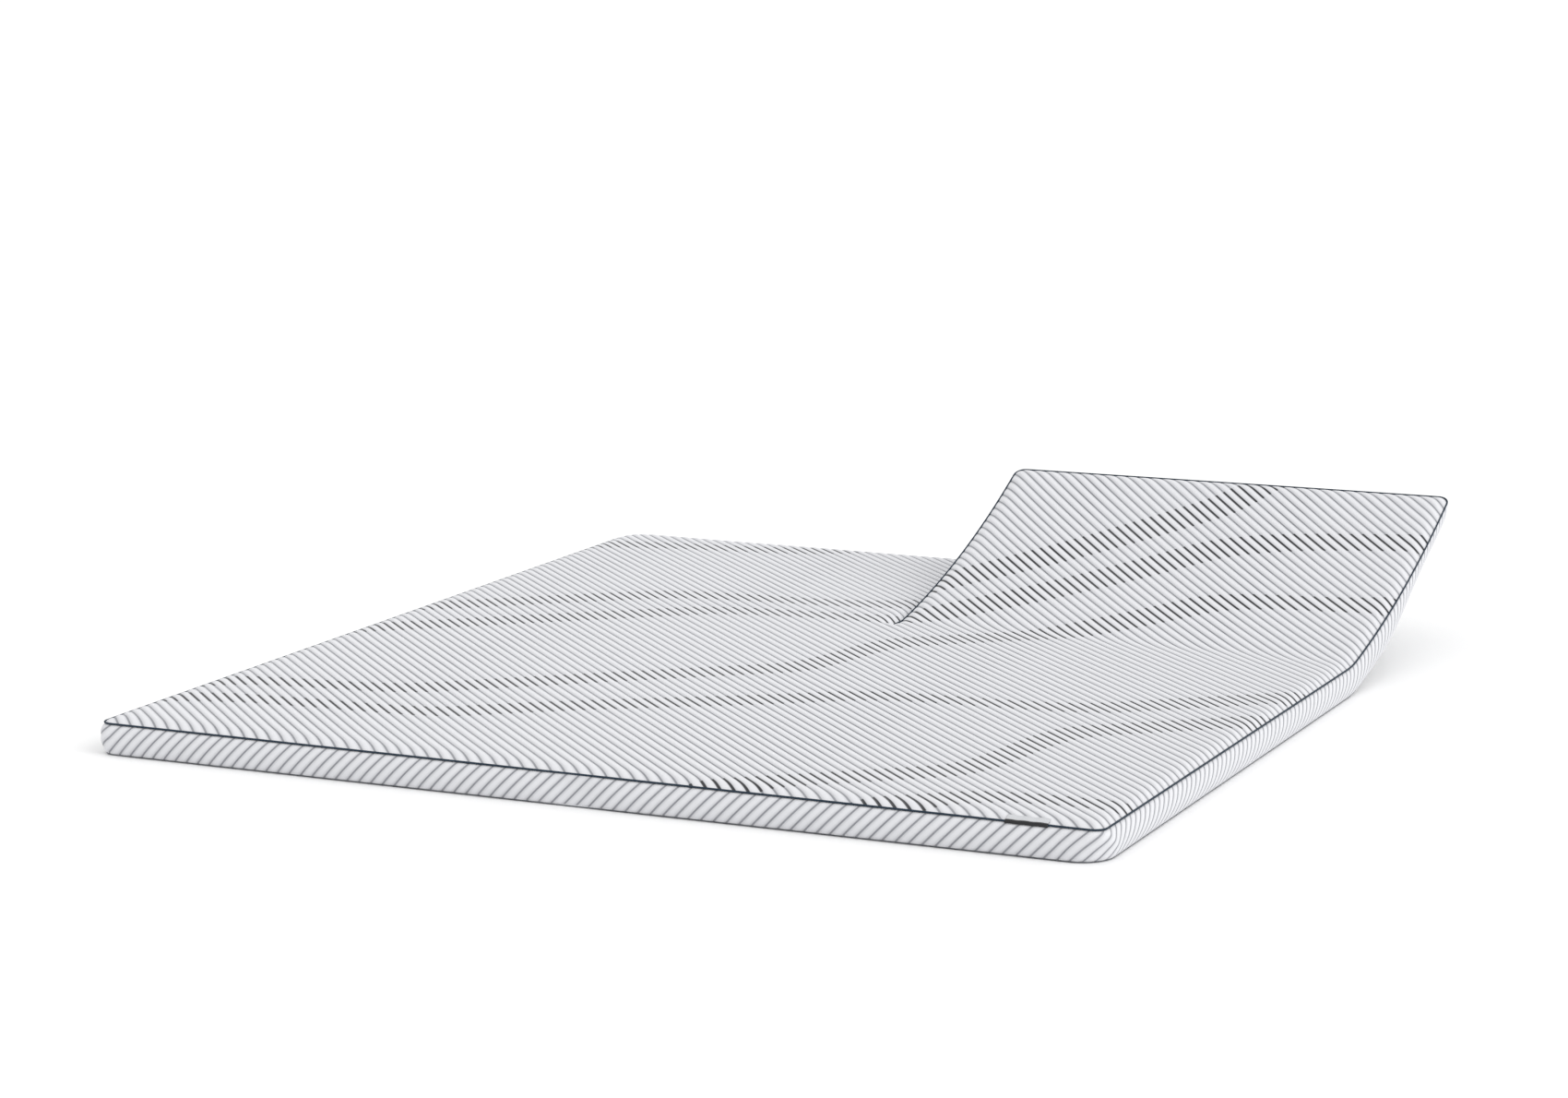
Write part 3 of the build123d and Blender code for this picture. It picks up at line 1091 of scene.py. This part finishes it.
# pitch of the teeth, how far each stands off the middle, and its size
TOOTH_PITCH = 0.0016
TOOTH_OFFSET = 0.0006
TOOTH_SIZE = (TOOTH_PITCH * 0.62, 0.0024, 0.0015)
SLIDER_WALL = 0.0012
SLIDER_SIDE_SHARE = 0.8
PULL_RAIL = 0.0012
PULL_GRIP = 0.009
METAL_EDGE = 0.0003
BOX_FACES = np.array([
    (0, 1, 3, 2), (4, 6, 7, 5), (0, 4, 5, 1), (2, 3, 7, 6), (0, 2, 6, 4), (1, 5, 7, 3)])


def box_points(centre, size):
    """The eight corners of a box."""
    corners = [(x, y, z) for x in (-0.5, 0.5) for y in (-0.5, 0.5) for z in (-0.5, 0.5)]
    return np.array(centre) + np.array(corners) * np.array(size)


def join_boxes(name, boxes, material, bevel=0.0):
    """One mesh from several small boxes, with softened edges where bevel is given."""
    points = np.concatenate([box_points(centre, size) for centre, size in boxes])
    faces = np.concatenate([BOX_FACES + 8 * i for i in range(len(boxes))])
    obj = mesh_object(name, points, faces, uv=points[:, :2], material=material)
    if bevel:
        edge = obj.modifiers.new("soft_edges", "BEVEL")
        edge.width = bevel
        edge.segments = 2
    return obj


def zip_tape():
    """The two cloth halves, with a narrow gap under the teeth."""
    width = (TAPE_HIGH.y - TAPE_LOW.y - TAPE_GAP) / 2
    level = (TAPE_LOW.z + TAPE_HIGH.z) / 2
    offset = (width + TAPE_GAP) / 2
    size = (ZIP_LENGTH, width, TAPE_THICKNESS)
    halves = [((0, ZIP_MIDDLE + sign * offset, level), size) for sign in SIDES.values()]
    return join_boxes("zip_tape_halves", halves, ZIP_TAPE)


def zip_teeth():
    """Teeth from both halves in turn, along the whole tape."""
    level = (COIL_LOW.z + COIL_HIGH.z) / 2
    teeth = []
    for i in range(int(ZIP_LENGTH / TOOTH_PITCH)):
        sign = 1 if i % 2 else -1
        x = COIL_LOW.x + (i + 0.5) * TOOTH_PITCH
        teeth.append(((x, ZIP_MIDDLE + sign * TOOTH_OFFSET, level), TOOTH_SIZE))
    return join_boxes("zip_coil_teeth", teeth, ZIP_TAPE)


def zip_slider():
    """The slider's bottom plate and its two side walls."""
    low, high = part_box("zip_slider")
    centre = (low + high) / 2
    size = high - low
    side_size = (size.x * SLIDER_SIDE_SHARE, SLIDER_WALL, size.z)
    plates = [
        ((centre.x, centre.y, low.z + SLIDER_WALL / 2), (size.x, size.y, SLIDER_WALL)),
        ((centre.x, low.y + SLIDER_WALL / 2, centre.z), side_size),
        ((centre.x, high.y - SLIDER_WALL / 2, centre.z), side_size),
    ]
    return join_boxes("zip_slider_body", plates, ZIP_METAL, METAL_EDGE)


def zip_pull():
    """The pull tab: an open frame with a solid grip at its free end."""
    low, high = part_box("zip_pull")
    centre = (low + high) / 2
    size = high - low
    rail_size = (size.x, PULL_RAIL, size.z)
    bars = [
        ((centre.x, low.y + PULL_RAIL / 2, centre.z), rail_size),
        ((centre.x, high.y - PULL_RAIL / 2, centre.z), rail_size),
        ((low.x + PULL_RAIL / 2, ZIP_MIDDLE, centre.z), (PULL_RAIL, size.y, size.z)),
        ((high.x - PULL_GRIP / 2, ZIP_MIDDLE, centre.z), (PULL_GRIP, size.y, size.z)),
    ]
    return join_boxes("zip_pull_tab", bars, ZIP_METAL, METAL_EDGE)


for obj, body, node, slot in (
    (zip_tape(), "calf", "zip_tape", "zip_tape_cloth"),
    (zip_teeth(), "calf", "zip_coil", "zip_coil_plastic"),
    (zip_slider(), "zip_slider", "zip_slider", "zip_metal"),
    (zip_pull(), "zip_slider", "zip_pull", "zip_metal"),
):
    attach(obj, body)
    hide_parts(node)


# ---- stage, light and camera ----
FLOOR_SIZE = 300
FLOOR_LEVEL = -0.0005
LENS = 92.0
CAMERA_PLACE = (2.8896, -6.5571, 1.5529)
# degrees that the camera looks down, and that it is turned from +Y towards -X
CAMERA_DOWN = 10.264
CAMERA_TURN = 24.38


def stage_floor():
    bpy.ops.mesh.primitive_plane_add(size=FLOOR_SIZE, location=(0, 0, FLOOR_LEVEL))
    floor = bpy.context.object
    floor.name = "studio_floor"
    floor_white = Nodes("floor_white").finish((0.92, 0.92, 0.92, 1), 0.9, specular=0.1)
    floor.data.materials.append(floor_white)


def white_world():
    world = bpy.data.worlds.new("studio")
    bpy.context.scene.world = world
    world.use_nodes = True
    background = world.node_tree.nodes["Background"]
    background.inputs["Color"].default_value = (1.0, 1.0, 1.0, 1)
    background.inputs["Strength"].default_value = 1.0


def sun(name, elevation, azimuth, softness, strength):
    """A soft distant light. Azimuth is the side it comes from, turned from +X towards +Y."""
    data = bpy.data.lights.new(name, "SUN")
    data.energy = strength
    data.angle = math.radians(softness)
    obj = bpy.data.objects.new(name, data)
    bpy.context.scene.collection.objects.link(obj)
    obj.rotation_euler = (0, math.radians(90 - elevation), math.radians(azimuth))


def photo_camera():
    data = bpy.data.cameras.new("camera")
    data.sensor_width = 36.0
    data.lens = LENS
    data.clip_end = 400
    camera = bpy.data.objects.new("camera", data)
    bpy.context.scene.collection.objects.link(camera)
    camera.location = CAMERA_PLACE
    camera.rotation_euler = (math.radians(90 - CAMERA_DOWN), 0, math.radians(CAMERA_TURN))
    bpy.context.scene.camera = camera


stage_floor()
white_world()
sun("side_light", elevation=32, azimuth=-8, softness=50, strength=1.15)
photo_camera()
bpy.context.scene.view_settings.view_transform = "Standard"
